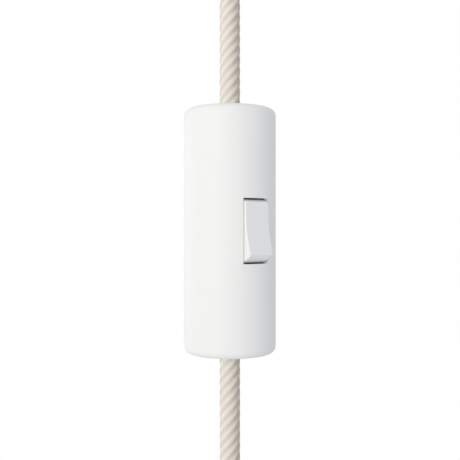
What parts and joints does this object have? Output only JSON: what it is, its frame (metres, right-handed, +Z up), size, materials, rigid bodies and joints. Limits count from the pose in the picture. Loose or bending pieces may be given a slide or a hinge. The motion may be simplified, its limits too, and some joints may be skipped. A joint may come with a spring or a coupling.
{
  "type": "inline cord switch",
  "caption": "Smooth white cylindrical inline rocker switch on a taut cream textile cord, with a threaded cord grip at each end to hang it by.",
  "frame": {"origin": "centre of the shoulder at the foot of the upper threaded nipple, which carries the object; the switch hangs below it", "axes": "+Z up along the cord, -Y the way the rocker faces, +X across the rocker along its pivot"},
  "size_m": [0.032, 0.0344, 0.2377],
  "materials": {
    "housing_white": "smooth matte white",
    "rocker_white": "smooth matte white",
    "inner_plastic": "moulded off-white",
    "grip_white": "turned satin white",
    "grip_screw_white": "moulded nylon",
    "textile_cream": "twisted cotton cover",
    "zinc_steel": "zinc plated",
    "spring_steel": "drawn wire",
    "brass": "stamped and turned brass",
    "silver_contact": "silver alloy",
    "core_brown": "brown insulation",
    "core_blue": "blue insulation",
    "core_green_yellow": "green and yellow insulation",
    "core_tails": "insulated cores with tinned ferrules"
  },
  "bodies": {
    "housing": {"sleeve": "housing_white", "upper_end_cap": "housing_white", "lower_end_cap": "housing_white", "cap_screws": "zinc_steel", "carrier_tray": "inner_plastic", "contact_deck": "inner_plastic", "deck_screws": "zinc_steel", "upper_cord_clamp": "inner_plastic", "lower_cord_clamp": "inner_plastic", "clamp_screws": "zinc_steel", "line_terminal": "brass", "centre_terminal": "brass", "terminal_screws": "zinc_steel", "fixed_contact": "silver_contact", "upper_cord": "textile_cream", "lower_cord": "textile_cream", "live_core_in": "core_brown", "live_core_out": "core_brown", "neutral_core": "core_blue", "earth_core": "core_green_yellow", "upper_cord_grip": "grip_white", "lower_cord_grip": "grip_white", "upper_grip_screw": "grip_screw_white", "lower_grip_screw": "grip_screw_white", "upper_core_tails": "core_tails", "lower_core_tails": "core_tails"},
    "rocker": {"rocker": "rocker_white", "plunger_spring": "spring_steel"},
    "plunger": {"plunger": "brass"},
    "contact_bridge": {"contact_bridge": "brass", "moving_contact": "silver_contact"}
  },
  "joints": [
    {"name": "rocker_pivot", "type": "hinge", "parent": "housing", "child": "rocker", "pos_m": [0, -0.011, -0.10085], "axis": [1, 0, 0], "range_deg": [0, 16]},
    {"name": "plunger_slide", "type": "slide", "parent": "rocker", "child": "plunger", "axis": [0, -0.9903, 0.1392], "range_m": [0, 0.0006], "stiffness_N_per_m": 150, "deforming": ["plunger_spring"]},
    {"name": "bridge_rock", "type": "hinge", "parent": "housing", "child": "contact_bridge", "pos_m": [0, -0.0062, -0.10085], "axis": [1, 0, 0], "range_deg": [-16, 0]}
  ],
  "couplings": [
    {"joint": "bridge_rock", "follows": "rocker_pivot", "ratio": -1}
  ]
}
